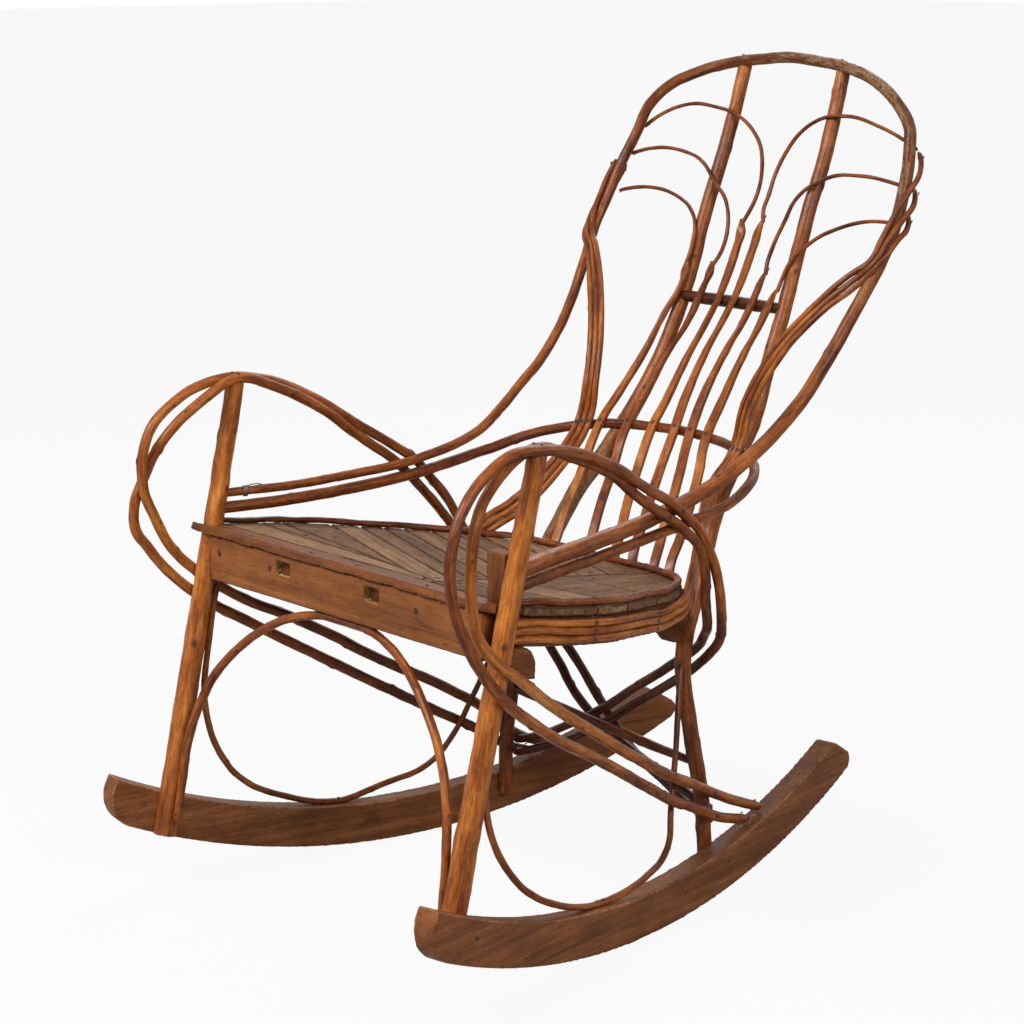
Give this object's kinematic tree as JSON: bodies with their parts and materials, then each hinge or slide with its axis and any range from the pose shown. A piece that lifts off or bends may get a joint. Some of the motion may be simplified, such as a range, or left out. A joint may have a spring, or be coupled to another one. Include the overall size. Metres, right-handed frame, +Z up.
{
  "type": "hickory rocking chair",
  "caption": "Bentwood rocking chair of peeled hickory sticks with looped arms, a hooped back of shaped slats, a chevron split-board seat and sawn oak rockers.",
  "frame": {"origin": "on the floor, midway between the rockers, where their running edges touch it at rest", "axes": "+X to the sitter's left, +Y to the back of the chair, +Z up"},
  "size_m": [0.6556, 0.9202, 1.039],
  "materials": {
    "oak_rocker": "satin varnish",
    "hickory_stick": "satin varnish over bark",
    "split_board": "worn varnish",
    "sawn_rail": "satin varnish",
    "nail_iron": "oxidised",
    "tie_wire": "dull"
  },
  "bodies": {
    "root": {"arm_rod_left_inner": "hickory_stick", "arm_rod_left_outer": "hickory_stick", "arm_rod_right_inner": "hickory_stick", "arm_rod_right_outer": "hickory_stick", "back_bow": "hickory_stick", "back_crossbar": "hickory_stick", "back_post_left": "hickory_stick", "back_post_right": "hickory_stick", "frame_nails": "nail_iron", "front_arch": "hickory_stick", "front_ledger": "sawn_rail", "front_post_left": "hickory_stick", "front_post_right": "hickory_stick", "front_seat_rail": "sawn_rail", "lower_back_bow": "hickory_stick", "rear_seat_rail": "sawn_rail", "rear_stretcher": "hickory_stick", "rocker_left": "oak_rocker", "rocker_nails": "nail_iron", "rocker_right": "oak_rocker", "seat_board_01": "split_board", "seat_board_02": "split_board", "seat_board_03": "split_board", "seat_board_04": "split_board", "seat_board_05": "split_board", "seat_board_06": "split_board", "seat_board_07": "split_board", "seat_board_08": "split_board", "seat_board_09": "split_board", "seat_board_10": "split_board", "seat_board_11": "split_board", "seat_board_12": "split_board", "seat_board_13": "split_board", "seat_board_14": "split_board", "seat_board_15": "split_board", "seat_bracket_right": "sawn_rail", "seat_centre_batten": "sawn_rail", "seat_cleat_left": "sawn_rail", "seat_cleat_right": "sawn_rail", "seat_front_strip": "split_board", "seat_nails": "nail_iron", "seat_rim_rod": "hickory_stick", "seat_side_rail_left": "sawn_rail", "seat_side_rail_right": "sawn_rail", "side_brace_left": "hickory_stick", "side_brace_right": "hickory_stick", "side_strand_left_1": "hickory_stick", "side_strand_left_2": "hickory_stick", "side_strand_left_3": "hickory_stick", "side_strand_right_1": "hickory_stick", "side_strand_right_2": "hickory_stick", "side_strand_right_3": "hickory_stick", "slat_1": "hickory_stick", "slat_2": "hickory_stick", "slat_3": "hickory_stick", "slat_4": "hickory_stick", "slat_5": "hickory_stick", "slat_6": "hickory_stick", "wire_tie": "tie_wire"}
  },
  "joints": []
}
